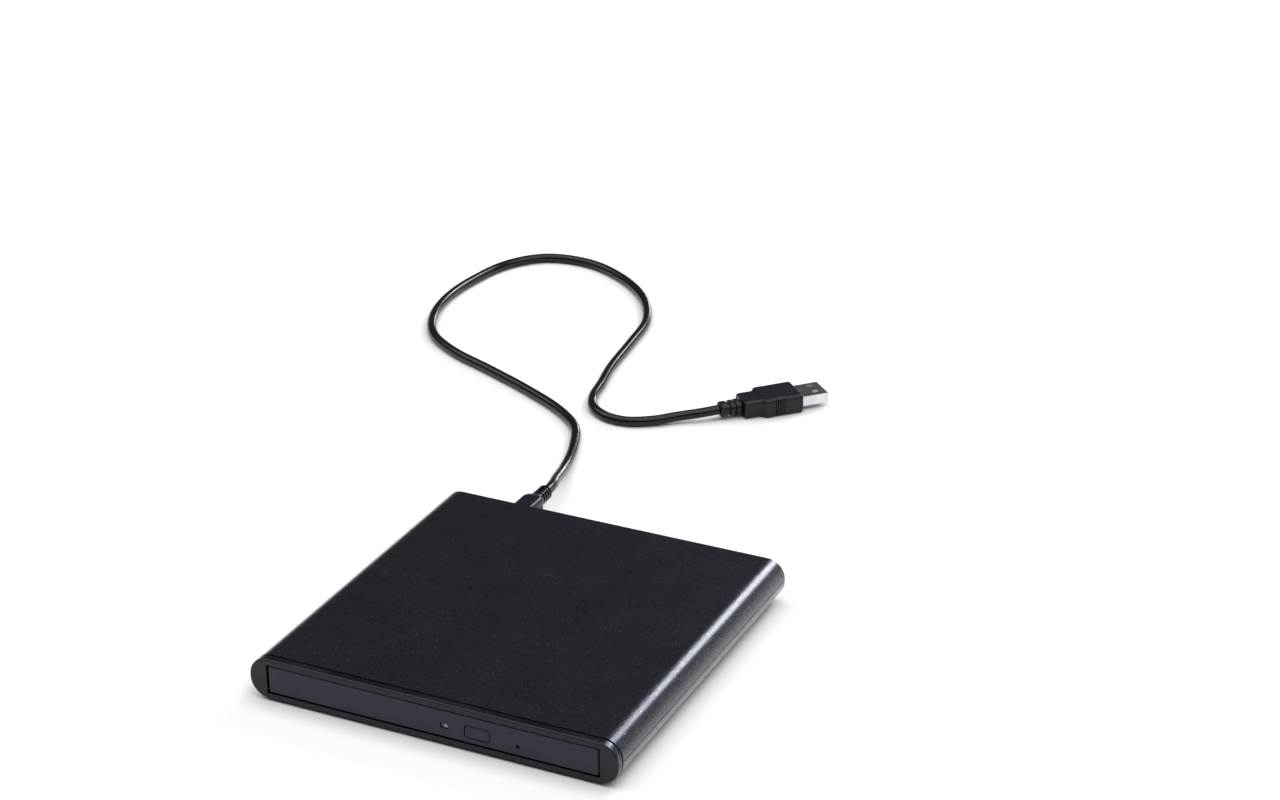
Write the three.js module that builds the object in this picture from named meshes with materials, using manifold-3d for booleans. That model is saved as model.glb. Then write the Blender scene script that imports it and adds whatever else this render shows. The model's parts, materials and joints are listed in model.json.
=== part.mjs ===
// A slim external optical disc drive: a flat case with round sides around a
// 9.5 mm tray-load mechanism, with its USB lead plugged in at the back.
//
// Millimetres, +Z up. The tray opens towards -Y. The origin is on the surface
// that the drive stands on, under the middle of its case.

import * as THREE from 'three';
import { mergeVertices } from 'three/addons/utils/BufferGeometryUtils.js';
import Module from 'manifold-3d';

const wasm = await Module();
wasm.setup();

// ---------------------------------------------------------------- dimensions

const GAP = 0.3;                    // clearance between neighbouring pieces

// A box is given as [left, right, front, back, bottom, top] and a flat outline
// as [x, y] points.

const CASE_WIDTH = 143;
const CASE_DEPTH = 142.5;
const CASE_HEIGHT = 15.6;
const CASE_SIDE_RADIUS = 7.25;
const CASE_WALL = 1.4;
const CASE_EDGE = 0.35;             // chamfer at the front and back of the case
const CASE_CURVE_SEGMENTS = 4;
const STAND_HEIGHT = 1;             // from the surface up to the case

const CASE_LEFT = -CASE_WIDTH / 2;
const CASE_FRONT = -CASE_DEPTH / 2;
const CASE_BACK = CASE_DEPTH / 2;
const CASE_BOTTOM = STAND_HEIGHT;
const CASE_TOP = CASE_BOTTOM + CASE_HEIGHT;
const SHELL_SPLIT = 9.1;            // height of the line between the two shells

const FRAME_THICKNESS = 3.2;
const FRAME_GROOVE = 0.7;
const FRAME_COLLAR_END = -64.8;
const SHELL_FRONT = CASE_FRONT + FRAME_THICKNESS + FRAME_GROOVE;

const POST = { x: 67.3, y: 58, radius: 2.9, bottom: 1.7, top: 15 };
const BOSS = { radius: 2.2, bottom: 2, top: 3.7, bore: 1.2, pocketRadius: 1.9, pocketTop: 1.9 };
const BOARD_POST = { places: [-52, 44], y: 64, radius: 2, top: 5.3 };
const RIB = {
  places: [-40, 0, 40], halfWidth: 0.8, front: -58, back: 56, upperBottom: 13.8, upperTop: 15.4,
};
const PLINTH = { halfWidth: 67.6, front: -66.8, back: 67.8, bottom: 0.4, top: 2.2, radius: 3 };
const FOOT = { x: 55, y: 57, length: 17, width: 8, top: 1.15, recessTop: 1.4 };
const SCREW = {
  x: 52, y: 40, headRadius: 1.6, headBottom: 0.7, headTop: 1.6, shaftRadius: 0.9, top: 4.65,
  slotHalfLength: 1.1, slotHalfWidth: 0.22, slotDepth: 0.5,
};

const BEZEL = {
  width: 128, height: 10.4, centreZ: 8.75, front: -71.05, back: -67.6, radius: 0.8, edge: 0.3,
  pockets: [[-60, -4], [40, 60]], pocketDepth: 1.2, pocketHalfHeight: 3.6,
};
const BEZEL_MARGIN = { side: 0.6, height: 0.4 };
const LED_WINDOW = { x: 5.7, z: 7.95, width: 3.1, height: 2, radius: 0.35, recess: 0.35 };
const EJECT_BUTTON = {
  x: 18.45, z: 7.95, width: 9.5, height: 4.5, radius: 1.1, edge: 0.25, proud: 0.15, back: -68.5,
};
const BUTTON_STEM = { halfWidth: 1.5, front: -68.8, back: -65.9, bottom: 6.75, top: 7.75 };
const EMERGENCY_HOLE = { x: 33.9, z: 6.95, radius: 0.7 };

const PLUG_X = -41.8;               // mini-B plug and socket, at the back
const PLUG_Z = 8.9;
const PLUG_FRONT = CASE_BACK - 0.35;
const PLUG_END = 98;

const REAR_PANEL = { front: 69, back: 70.55, holeHalfWidth: 4.3, holeHalfHeight: 2.4 };
const REAR_STIFFENER = [-20, 50, 67.6, 69.2, 11.5, 12.7];

const BOARD_TOP = 6.6;
const BRIDGE = {
  board: [-58, 52, 59.6, 67.2, BOARD_TOP - 1, BOARD_TOP],
  socket: [PLUG_X - 3.95, PLUG_X + 3.95, 61, 70.3, PLUG_Z - 2.05, PLUG_Z + 2.05],
  socketPocket: [PLUG_X - 3.65, PLUG_X + 3.65, 62, 71, PLUG_Z - 1.75, PLUG_Z + 1.75],
  receptacle: [21, 45, 60, 66.5, BOARD_TOP + GAP, 11],
  receptacleSlot: [22.2, 43.8, 59, 63.6, 7.7, 9.9],
  chip: [-22, -14, 60.3, 66.8, BOARD_TOP + GAP, 7.9],
  crystal: { left: -8, right: -2, front: 62, back: 65.4, radius: 1.2, top: 8 },
  capacitor: { x: 7, y: 63.6, radius: 2.2, top: 11.2 },
};

const CHASSIS = { halfWidth: 63.1, front: -67, back: 58.5, bottom: 4, top: 12.6, sheet: 0.7 };
const CHASSIS_OPENINGS = {
  spindleRadius: 9,
  vents: [[-50, -30, -20, 30], [10, 24, 22, 44]],
  ventRadius: 3,
  connector: [21.5, 44.5, 56.5, 59.5, 5.9, 10.3],
  ejector: [-49, -41, 56.5, 59.5, 5.6, 8.2],
};
const COVER = {
  halfWidth: 64, top: 13.5, sheet: 0.5, flangeBottom: 8.5,
  ringOuter: 50, ringInner: 47.5, ringDepth: 0.25,
};
const DRIVE_CONNECTOR = {
  board: [20, 56, 50.4, 57.3, 5.2, 6],
  body: [22, 44, 51.5, 57.9, 6.3, 9.9],
  tongue: [22.6, 43.4, 57, 63.2, 8.2, 9.4],
};
const LOCK_PIN = { x: 52, y: -60.7, bottom: 5, top: 7.4, radius: 1, baseTop: 5.4, baseRadius: 1.8 };

const DISC_CENTRE = { x: 0, y: -6.5 };
const DISC_WELL_RADIUS = 61;

const TRAY = {
  halfWidth: 57.5, front: -67.2, back: 49.5,
  deckBottom: 7.9, deckTop: 8.9, rimTop: 12.3, skirtBottom: 5.6, skirtWidth: 2, wall: 1.8,
  rearWallEnd: 14, runnerBottom: 7.1, runnerTop: 8.1, notchHalfWidth: 8, notchDepth: 12,
};
const TRAY_WINDOWS = [[-51, -43, -28, 36, 7, 9.1], [-16, 26, 30, 44, 7, 9.1]];
const TRAY_SLOT = { depth: 4, bottom: 6.4, top: 8 };
const TRAY_POST = { radius: 1.1, bottom: 5, top: 8.2 };
const TRAY_BOARD = { bottom: 6.9, top: 7.6 };
const TRAY_BOARD_OUTLINE = [
  [12, -64.8], [38.6, -64.8], [38.6, -34], [48.5, -34], [48.5, 46],
  [31, 46], [31, -26], [24, -44], [12, -50],
];
const SOLENOID = {
  coil: [20, 31, -52, -42, 5.4, 6.6], plunger: [30.9, 32.5, -49.5, -44.5, 5.6, 6.4],
};
const LATCH = {
  x: 42, y: -50, bottom: 5.6, top: 6.5, bore: 1.3, pinRadius: 1, pinBottom: 5.4,
};
const LATCH_OUTLINE = [              // from the latch's pivot
  [-6.6, 1.2], [-5.8, 6.2], [-4.2, 6.2], [-3.2, 2.6], [1.5, 2.6], [3, 1],
  [10.8, -6.2], [10.8, -7.9], [8.2, -7.9], [-1.2, -2.6], [-5.4, -1.4],
];

const RAIL = {
  inner: 58.3, outer: 60.9, web: 0.8, front: -66.6, back: 49, bottom: 6.2, top: 9, lip: 0.6,
};
const GUIDE = { inner: 59.6, outer: 62.1, web: 0.9, front: -66, back: 57.3, lip: 0.9 };
const EJECTOR = {
  x: -45, z: 6.9, halfWidth: 5, front: 50.6, back: 57.5, bottom: 5.1, top: 8.7,
  boreRadius: 1.5, boreEnd: 57, rodRadius: 1.1, rodEnd: 56.6, headRadius: 1.6, headEnd: 50.3,
};

// The pickup runs from the spindle towards the front left corner. Its places
// are given as a distance out from the spindle and an offset across that way.
const DIAGONAL = Math.SQRT1_2;
const SLED_MIN_RADIUS = 25;         // lens to spindle, sled parked by the hub
const ROD = { offset: 8.5, height: 6.7, radius: 0.8, start: 17.3, end: 65.3 };
const ROD_POST = {
  spans: [[16.4, 18.2], [64.9, 66]], halfWidth: 1.6, bottom: 5.5, top: 7.6,
  bore: 1.1, boreStart: 17.1, boreEnd: 65.5,
};
const TRAVERSE = { bottom: 5.2, top: 6.2, motorHole: 11.4, postHole: 1.5, coverBottom: 8.4 };
const TRAVERSE_OPENING = [
  [-17.3, -12], [-12, -17.3], [14, -17.3], [26, -12.8], [62.5, -12.8], [66, -9.3],
  [66, 9.3], [62.5, 12.8], [26, 12.8], [14, 17.3], [-12, 17.3], [-17.3, 12],
];
const TRAVERSE_COVER = [
  [-17, -11.9], [-11.9, -17], [13.9, -17], [25.9, -12.5], [62.4, -12.5], [65.7, -9.2],
  [65.7, 9.2], [62.4, 12.5], [25.9, 12.5], [13.9, 17], [-11.9, 17], [-17, 11.9],
];
const TRAVERSE_FRAME = [
  [-17, -21.5], [22, -21.5], [30, -16.5], [59, -16.5], [66, -10.3],
  [66, 10.3], [59, 16.5], [30, 16.5], [22, 21.5], [-17, 21.5],
];
const SLED_WINDOW = [
  [18.6, -12.1], [62.2, -12.1], [64.6, -9.7], [64.6, 9.7], [62.2, 12.1], [18.6, 12.1],
];
const TRAVERSE_POSTS = [[-12, -19.2], [-12, 19.2], [40, -14.6]];
const COVER_SLOT = [12, 64, -9, 9, 8, 10];
const SLED_MOTOR = [5, 20, 12.6, 17.4, 5.2, 7.6];
const SLED_MOTOR_ROOM = [4.5, 20.4, 12.2, 17.8, 4, 9];
const LEAD_SCREW = {
  offset: 15, height: 6.95, radius: 0.6, coreRadius: 0.4, start: 20.9, end: 58, pitch: 3,
  tail: 3.5, bore: 0.55, boreStart: 16,
};

const SPINDLE = {
  bottom: 5.2, top: 8.05, radius: 11, bore: 1.8, boreBottom: 5.9, shaft: 1.5, shaftBottom: 6.2,
};
const HUB = { flangeRadius: 15, flangeBottom: 8.35, discHeight: 10.4, radius: 7.3, top: 12.2 };
const BALL = {
  radius: 0.9, reach: 6.9, z: 11.1, pocketStart: 5, pocketEnd: 9, pocketRadius: 1.2,
};
const BALL_DIRECTIONS = [90, 210, 330].map((degrees) => {
  const angle = THREE.MathUtils.degToRad(degrees);
  return { cos: Math.cos(angle), sin: Math.sin(angle) };
});

// Places on the sled are measured from its lens.
const SLED = { bottom: 5.3, top: 8.1, bore: 1.15 };
const SLED_OUTLINE = [
  [-5.5, -8], [-3.5, -11.5], [4.5, -11.5], [7, -9], [7, 9], [4.5, 11.5], [-3.5, 11.5], [-5.5, 8],
];
const SLED_FOLLOWER = [1, 5, 11, 12.8, 6.5, 7.4];
const SLED_HOLLOW = [-4.4, 4.4, -4.4, 4.4, 6.2, 9];
const LENS_HOLDER = [-3.6, 3.6, -4, 4, 6.9, 8.5];
const LENS_SEAT_RADIUS = 2.3;
const LENS_Z = 7.9;
const LENS_PROFILE = [[0, -0.4], [1.6, -0.35], [2, 0], [1.5, 0.55], [0.8, 0.85], [0, 0.95]];

const FLEX = {
  x: 38, width: 18, thickness: 0.2, lowerZ: 4.95, lowerFront: -65.5, lowerBack: 50,
  upperZ: 6.4, upperBack: 46.5, bendFront: -16, bendLength: 14, clearance: 0.2,
};

const MINI_BODY = { width: 9, height: 7.2, radius: 2, end: 86 };
const MINI_RELIEF = { width: 5.5, height: 5.8, radius: 2.2, start: 89.4 };
const RELIEF_SLOT = { count: 4, first: 90.8, pitch: 1.8, width: 0.9, core: 1.85, side: 0.5 };
const MINI_TIP = { start: 62.4, halfWidth: 3.35, halfFoot: 2.6, halfHeight: 1.45 };
const MINI_MOUTH = [PLUG_X - 2.4, PLUG_X + 2.4, 60, 67, PLUG_Z - 0.4, PLUG_Z + 1.1];

const CORD_DIAMETER = 4.2;
const CORD_HALF_SIDES = 5;          // facets around half of the cord
const CORD_STEPS = 56;
const A_PLUG = {
  x: -14.7, y: 204.9, z: 4.25, angle: -43.4, relief: 9.7, body: 25.8, shell: 12,
};
// Each entry is [start, end, width, height, corner radius] along the A plug.
const A_RELIEF = [
  [0, 0.1, 5.6, 5, 2.2], [0.5, 2.9, 7, 6.2, 2.7], [3.1, 4.3, 5.2, 4.7, 2.1],
  [4.4, 5.9, 7, 6.2, 2.7], [6, 6.8, 5.6, 5, 2.3], [6.9, 8.7, 7.2, 6.4, 2.8],
  [8.8, 9.7, 5.6, 5, 2.3],
];
const A_BODY = [
  [9.8, 9.9, 10.6, 6.9, 1.4], [10.3, 16.6, 11.6, 7.7, 1.7], [17.4, 17.5, 12.6, 7.9, 1.7],
  [18.5, 18.6, 15.4, 8.4, 1.7], [19.2, 22.5, 16, 8.5, 1.7],
];
const A_GRIP = { start: 22.6, end: 27.5, pitch: 1, groove: 0.4, depth: 0.45, slope: 0.1 };
const A_SHELL = { width: 12, height: 4.5, wall: 0.3, floor: 0.6 };
const A_SHELL_HOLE = { side: 2.6, size: 2, length: 2.4, along: 7.4, z: 2.4 };
const A_TONGUE = { width: 10.8, start: 0.9, end: 0.6, bottom: -1.65, top: 0.1 };

// Route of the cord's centre line, from the mini-B plug to the A plug. It
// drops to the surface behind the case and lies there in one open loop.
const CORD_ROUTE = [
  [PLUG_X, PLUG_END + GAP, PLUG_Z],
  [-42.2, 103, 8.65],
  [-43.4, 108, 7.95],
  [-45.1, 113, 6.95],
  [-46.7, 119, 5.7],
  [-48.7, 126, 4.3],
  [-51, 134, 3.1],
  [-53.3, 142, 2.4],
  [-56.1, 150.4, 2.2],
  [-63.8, 167.3, 2.2],
  [-76.6, 179.3, 2.2],
  [-98.9, 192.2, 2.2],
  [-123.8, 204, 2.2],
  [-147.7, 214.7, 2.2],
  [-164.8, 227.6, 2.2],
  [-174.9, 245.7, 2.2],
  [-179.4, 266.8, 2.2],
  [-178.6, 290, 2.2],
  [-172.4, 315, 2.2],
  [-159.3, 329.3, 2.2],
  [-138.3, 331.5, 2.2],
  [-116.1, 321.5, 2.2],
  [-96.9, 304, 2.2],
  [-84.3, 280.6, 2.2],
  [-80.3, 255.8, 2.2],
  [-76.9, 228.7, 2.2],
  [-73.2, 211.8, 2.2],
  [-70.3, 197.5, 2.2],
  [-65.5, 188.5, 2.2],
  [-56.2, 182.5, 2.2],
  [-46.6, 182.2, 2.2],
  [-36.7, 187.4, 2.4],
  [-28.9, 194, 2.95],
  [-21.5, 199, 3.7],
];

// ------------------------------------------------------------------- solids

function toSolid(geometry) {
  const bare = geometry.index ? geometry.toNonIndexed() : geometry.clone();
  bare.deleteAttribute('normal');
  bare.deleteAttribute('uv');
  const merged = mergeVertices(bare, 1e-4);
  return new wasm.Manifold(new wasm.Mesh({
    numProp: 3,
    vertProperties: new Float32Array(merged.attributes.position.array),
    triVerts: new Uint32Array(merged.index.array),
  }));
}

function join(...solids) {
  return solids.flat().reduce((all, next) => all.add(next));
}

function cut(solid, ...tools) {
  return tools.flat().reduce((left, tool) => left.subtract(tool), solid);
}

function box(x0, x1, y0, y1, z0, z1) {
  const geometry = new THREE.BoxGeometry(x1 - x0, y1 - y0, z1 - z0);
  return toSolid(geometry.translate((x0 + x1) / 2, (y0 + y1) / 2, (z0 + z1) / 2));
}

// A box on the left (sign -1) or on the right (sign 1), near to far from X = 0.
function sideBox(sign, near, far, y0, y1, z0, z1) {
  const [left, right] = [sign * near, sign * far].sort((a, b) => a - b);
  return box(left, right, y0, y1, z0, z1);
}

// A plan outline raised along Z.
function prism(shape, z0, z1) {
  const options = { depth: z1 - z0, bevelEnabled: false, curveSegments: 3 };
  return toSolid(new THREE.ExtrudeGeometry(shape, options).translate(0, 0, z0));
}

// An outline in X and Z run along Y, with its two end edges chamfered by edge.
function profile(shape, y0, y1, edge = 0, curveSegments = 2) {
  const options = {
    depth: y1 - y0 - 2 * edge,
    bevelEnabled: edge > 0,
    bevelThickness: edge,
    bevelSize: edge,
    bevelOffset: -edge,
    bevelSegments: 1,
    curveSegments,
  };
  const geometry = new THREE.ExtrudeGeometry(shape, options);
  return toSolid(geometry.rotateX(Math.PI / 2).translate(0, y1 - edge, 0));
}

// A round bar from one point to another.
function bar(from, to, radius, sides = 20) {
  const start = new THREE.Vector3(...from);
  const end = new THREE.Vector3(...to);
  const axis = end.clone().sub(start);
  const geometry = new THREE.CylinderGeometry(radius, radius, axis.length(), sides);
  const turn = new THREE.Quaternion().setFromUnitVectors(
    new THREE.Vector3(0, 1, 0), axis.normalize());
  const middle = start.add(end).multiplyScalar(0.5);
  return toSolid(geometry.applyQuaternion(turn).translate(middle.x, middle.y, middle.z));
}

function drum(x, y, z0, z1, radius, sides = 24) {
  return bar([x, y, z0], [x, y, z1], radius, sides);
}

function polygon(points) {
  return new THREE.Shape(points.map(([x, y]) => new THREE.Vector2(x, y)));
}

function roundedRectangle(x0, x1, y0, y1, radius) {
  const shape = new THREE.Shape();
  shape.absarc(x1 - radius, y1 - radius, radius, 0, Math.PI / 2);
  shape.absarc(x0 + radius, y1 - radius, radius, Math.PI / 2, Math.PI);
  shape.absarc(x0 + radius, y0 + radius, radius, Math.PI, Math.PI * 1.5);
  shape.absarc(x1 - radius, y0 + radius, radius, Math.PI * 1.5, Math.PI * 2);
  return shape;
}

// A closed body through rounded rectangles that follow each other along Y.
// Each section is { y, width, height, radius }, centred on X = 0 and Z = 0.
function loftGeometry(sections, cornerSteps = 4) {
  const positions = [];
  const ringSize = 4 * (cornerSteps + 1);
  for (const { y, width, height, radius } of sections) {
    for (let corner = 0; corner < 4; corner += 1) {
      const sideX = corner === 0 || corner === 3 ? 1 : -1;
      const sideZ = corner < 2 ? 1 : -1;
      for (let step = 0; step <= cornerSteps; step += 1) {
        const angle = (corner + step / cornerSteps) * Math.PI / 2;
        positions.push(
          sideX * (width / 2 - radius) + radius * Math.cos(angle), y,
          sideZ * (height / 2 - radius) + radius * Math.sin(angle));
      }
    }
  }
  const last = sections.length - 1;
  const faces = [];
  for (let ring = 0; ring < last; ring += 1) {
    for (let i = 0; i < ringSize; i += 1) {
      const a = ring * ringSize + i;
      const b = ring * ringSize + (i + 1) % ringSize;
      faces.push(a, a + ringSize, b, b, a + ringSize, b + ringSize);
    }
  }
  for (let i = 1; i < ringSize - 1; i += 1) {
    faces.push(0, i, i + 1);
    faces.push(last * ringSize, last * ringSize + i + 1, last * ringSize + i);
  }
  const geometry = new THREE.BufferGeometry();
  geometry.setAttribute('position', new THREE.Float32BufferAttribute(positions, 3));
  geometry.setIndex(faces);
  return geometry;
}

// ------------------------------------------------------------------- pieces

const drive = new THREE.Group();

const FINISH = {
  paint: [0x17181b, 0.42, 0.35],
  framePaint: [0x1b1b1f, 0.4, 0.3],
  bezel: [0x26252c, 0.45, 0.1],
  blackPlastic: [0x141416, 0.5, 0],
  greyPlastic: [0x4a4a4c, 0.55, 0],
  whitePlastic: [0xe6e4dd, 0.5, 0],
  rubber: [0x101011, 0.85, 0],
  cordPvc: [0x0c0c0d, 0.38, 0],
  zincSteel: [0xb3b6b8, 0.35, 1],
  brightSteel: [0xc9cbcd, 0.22, 1],
  brass: [0xb79a56, 0.35, 1],
  board: [0x1f4a2c, 0.55, 0],
  flex: [0xc98d3c, 0.45, 0.1],
  chip: [0x1a1a1b, 0.6, 0],
  lens: [0xb9d0e6, 0.05, 0],
};

function add(name, solid, [color, roughness, metalness]) {
  const { vertProperties, triVerts } = solid.getMesh();
  const geometry = new THREE.BufferGeometry();
  geometry.setAttribute('position', new THREE.Float32BufferAttribute(vertProperties, 3));
  geometry.setIndex(new THREE.Uint32BufferAttribute(triVerts, 1));
  geometry.computeVertexNormals();
  const material = new THREE.MeshStandardMaterial({ color, roughness, metalness });
  const mesh = new THREE.Mesh(geometry, material);
  mesh.name = name;
  drive.add(mesh);
}

const SIDES = [{ side: 'left', sign: -1 }, { side: 'right', sign: 1 }];
const CORNERS = SIDES.flatMap(({ side, sign }) => [
  { name: `front_${side}`, x: sign, y: -1 },
  { name: `rear_${side}`, x: sign, y: 1 },
]);

// --------------------------------------------------------------------- case

// The case seen from the front, pulled in by inset on every side.
function caseOutline(inset) {
  return roundedRectangle(
    CASE_LEFT + inset, -CASE_LEFT - inset,
    CASE_BOTTOM + inset, CASE_TOP - inset, CASE_SIDE_RADIUS - inset);
}

function caseProfile(inset, y0, y1, edge = 0) {
  return profile(caseOutline(inset), y0, y1, edge, CASE_CURVE_SEGMENTS);
}

function halfSpace(z0, z1) {
  return box(-CASE_WIDTH, CASE_WIDTH, -CASE_DEPTH, CASE_DEPTH, z0, z1);
}

// The part of a solid from y0 to y1, with sharp edges where it is cut.
function between(solid, y0, y1) {
  return solid.intersect(box(-CASE_WIDTH, CASE_WIDTH, y0, y1, -CASE_HEIGHT, 2 * CASE_HEIGHT));
}

function shellTube() {
  const outer = caseProfile(0, SHELL_FRONT - 1, CASE_BACK, CASE_EDGE);
  const hollow = caseProfile(CASE_WALL, SHELL_FRONT - 2, CASE_BACK + 1);
  return between(cut(outer, hollow), SHELL_FRONT, CASE_BACK);
}

function postAt(corner, z0, z1) {
  return drum(corner.x * POST.x, corner.y * POST.y, z0, z1, POST.radius, 16);
}

function atScrew(corner, z0, z1, radius) {
  return drum(corner.x * SCREW.x, corner.y * SCREW.y, z0, z1, radius, 16);
}

function ribs(z0, z1) {
  const { places, halfWidth, front, back } = RIB;
  return places.map((x) => box(x - halfWidth, x + halfWidth, front, back, z0, z1));
}

function addTopCover() {
  const upper = halfSpace(SHELL_SPLIT, CASE_TOP + 1);
  const posts = CORNERS.map((corner) => postAt(corner, SHELL_SPLIT, POST.top));
  const inside = caseProfile(CASE_WALL / 2, SHELL_FRONT, CASE_BACK);
  const fittings = join(posts, ribs(RIB.upperBottom, RIB.upperTop));
  const body = join(shellTube().intersect(upper), fittings.intersect(inside));
  add('top_cover', body, FINISH.paint);
}

function footOutline(corner, margin) {
  const x = corner.x * FOOT.x;
  const y = corner.y * FOOT.y;
  return roundedRectangle(
    x - FOOT.length / 2 - margin, x + FOOT.length / 2 + margin,
    y - FOOT.width / 2 - margin, y + FOOT.width / 2 + margin, FOOT.width / 2 + margin - 0.01);
}

function addBottomCover() {
  const lower = halfSpace(CASE_BOTTOM - 1, SHELL_SPLIT - GAP);
  const boardPosts = BOARD_POST.places.map((x) => drum(
    x, BOARD_POST.y, BOSS.bottom, BOARD_POST.top, BOARD_POST.radius, 12));
  const posts = CORNERS.map((corner) => postAt(corner, POST.bottom, SHELL_SPLIT - GAP));
  const bosses = CORNERS.map((corner) => atScrew(corner, BOSS.bottom, BOSS.top, BOSS.radius));
  const inside = caseProfile(CASE_WALL / 2, SHELL_FRONT, CASE_BACK);
  const fittings = join(posts, bosses, ribs(BOSS.bottom, BOSS.top), boardPosts);
  const { halfWidth, front, back, bottom, top, radius } = PLINTH;
  const plinth = prism(
    roundedRectangle(-halfWidth, halfWidth, front, back, radius), bottom, top);
  const body = join(shellTube().intersect(lower), fittings.intersect(inside), plinth);
  const holes = CORNERS.flatMap((corner) => [
    atScrew(corner, 0, BOSS.top + 1, BOSS.bore),
    atScrew(corner, 0, BOSS.pocketTop, BOSS.pocketRadius),
    prism(footOutline(corner, GAP), 0, FOOT.recessTop),
  ]);
  add('bottom_cover', cut(body, holes), FINISH.paint);
}

function addFrontFrame() {
  const frameEnd = CASE_FRONT + FRAME_THICKNESS;
  const face = between(caseProfile(0, CASE_FRONT, frameEnd + 1, CASE_EDGE), CASE_FRONT, frameEnd);
  const collar = caseProfile(
    CASE_WALL + GAP, frameEnd - 0.5, FRAME_COLLAR_END);
  const halfWidth = BEZEL.width / 2 + BEZEL_MARGIN.side;
  const halfHeight = BEZEL.height / 2 + BEZEL_MARGIN.height;
  const aperture = box(
    -halfWidth, halfWidth, CASE_FRONT - 1, FRAME_COLLAR_END + 1,
    BEZEL.centreZ - halfHeight, BEZEL.centreZ + halfHeight);
  add('front_frame', cut(join(face, collar), aperture), FINISH.framePaint);
}

function addRearPanel() {
  const { front, back, holeHalfWidth, holeHalfHeight } = REAR_PANEL;
  const plate = caseProfile(CASE_WALL + GAP, front, back);
  const socketHole = box(
    PLUG_X - holeHalfWidth, PLUG_X + holeHalfWidth, front - 1, back + 1,
    PLUG_Z - holeHalfHeight, PLUG_Z + holeHalfHeight);
  const body = cut(join(plate, box(...REAR_STIFFENER)), socketHole);
  add('rear_panel', body, FINISH.blackPlastic);
}

function addFeetAndScrews() {
  const { headBottom, headTop, headRadius, shaftRadius, top } = SCREW;
  const { slotHalfLength: half, slotHalfWidth: thin, slotDepth } = SCREW;
  for (const corner of CORNERS) {
    add(`foot_${corner.name}`, prism(footOutline(corner, 0), 0, FOOT.top), FINISH.rubber);
    const head = atScrew(corner, headBottom, headTop, headRadius);
    const shaft = atScrew(corner, headBottom, top, shaftRadius);
    const x = corner.x * SCREW.x;
    const y = corner.y * SCREW.y;
    const slots = [[half, thin], [thin, half]].map(([alongX, alongY]) => box(
      x - alongX, x + alongX, y - alongY, y + alongY, headBottom - 1, headBottom + slotDepth));
    add(`case_screw_${corner.name}`, cut(join(head, shaft), slots), FINISH.zincSteel);
  }
}

// ------------------------------------------------------------- bridge board

function addBridgeBoard() {
  add('bridge_board', box(...BRIDGE.board), FINISH.board);
  const socket = cut(box(...BRIDGE.socket), box(...BRIDGE.socketPocket));
  add('usb_socket', socket, FINISH.brightSteel);
  const receptacle = cut(box(...BRIDGE.receptacle), box(...BRIDGE.receptacleSlot));
  add('sata_receptacle', receptacle, FINISH.blackPlastic);
  add('bridge_chip', box(...BRIDGE.chip), FINISH.chip);

  const seat = BOARD_TOP + GAP;
  const { left, right, front, back, radius, top } = BRIDGE.crystal;
  const crystal = prism(roundedRectangle(left, right, front, back, radius), seat, top);
  add('clock_crystal', crystal, FINISH.brightSteel);
  const can = BRIDGE.capacitor;
  add('board_capacitor', drum(can.x, can.y, seat, can.top, can.radius), FINISH.zincSteel);
}

// ------------------------------------------------- drive housing and guides

function addDriveChassis() {
  const { halfWidth, front, back, bottom, top, sheet } = CHASSIS;
  const pan = cut(
    box(-halfWidth, halfWidth, front, back, bottom, top),
    box(-halfWidth + sheet, halfWidth - sheet, front - 1, back - sheet, bottom + sheet, top + 1));
  const { spindleRadius, vents, ventRadius, connector, ejector } = CHASSIS_OPENINGS;
  const openings = [
    drum(DISC_CENTRE.x, DISC_CENTRE.y, bottom - 1, bottom + 1, spindleRadius),
    ...vents.map((edges) => prism(
      roundedRectangle(...edges, ventRadius), bottom - 1, bottom + 1)),
    box(...connector),
    box(...ejector),
    ...CORNERS.map((corner) => atScrew(corner, bottom - 1, bottom + 1, BOSS.bore)),
  ];
  add('drive_chassis', cut(pan, openings), FINISH.zincSteel);
}

function addDriveCover() {
  const { halfWidth, top, sheet, flangeBottom, ringOuter, ringInner, ringDepth } = COVER;
  const block = box(-halfWidth, halfWidth, CHASSIS.front, CHASSIS.back, flangeBottom, top);
  const under = box(
    -halfWidth + sheet, halfWidth - sheet, CHASSIS.front - 1, CHASSIS.back + 1,
    flangeBottom - 1, top - sheet);
  const recess = cut(
    drum(DISC_CENTRE.x, DISC_CENTRE.y, top - ringDepth, top + 1, ringOuter, 48),
    drum(DISC_CENTRE.x, DISC_CENTRE.y, top - 1, top + 2, ringInner, 48));
  add('drive_cover', cut(block, under, recess), FINISH.zincSteel);
}

function addRailGuides() {
  const { inner, outer, web, front, back, lip } = GUIDE;
  const bottom = RAIL.bottom - GAP - lip;
  const top = RAIL.top + GAP + lip;
  for (const { side, sign } of SIDES) {
    const block = sideBox(sign, inner, outer, front, back, bottom, top);
    const channel = sideBox(
      sign, inner - 1, outer - web, front - 1, back + 1, bottom + lip, top - lip);
    add(`rail_guide_${side}`, cut(block, channel), FINISH.whitePlastic);
  }
}

function addDriveConnector() {
  add('connector_board', box(...DRIVE_CONNECTOR.board), FINISH.board);
  const body = join(box(...DRIVE_CONNECTOR.body), box(...DRIVE_CONNECTOR.tongue));
  add('drive_connector', body, FINISH.blackPlastic);
}

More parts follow.
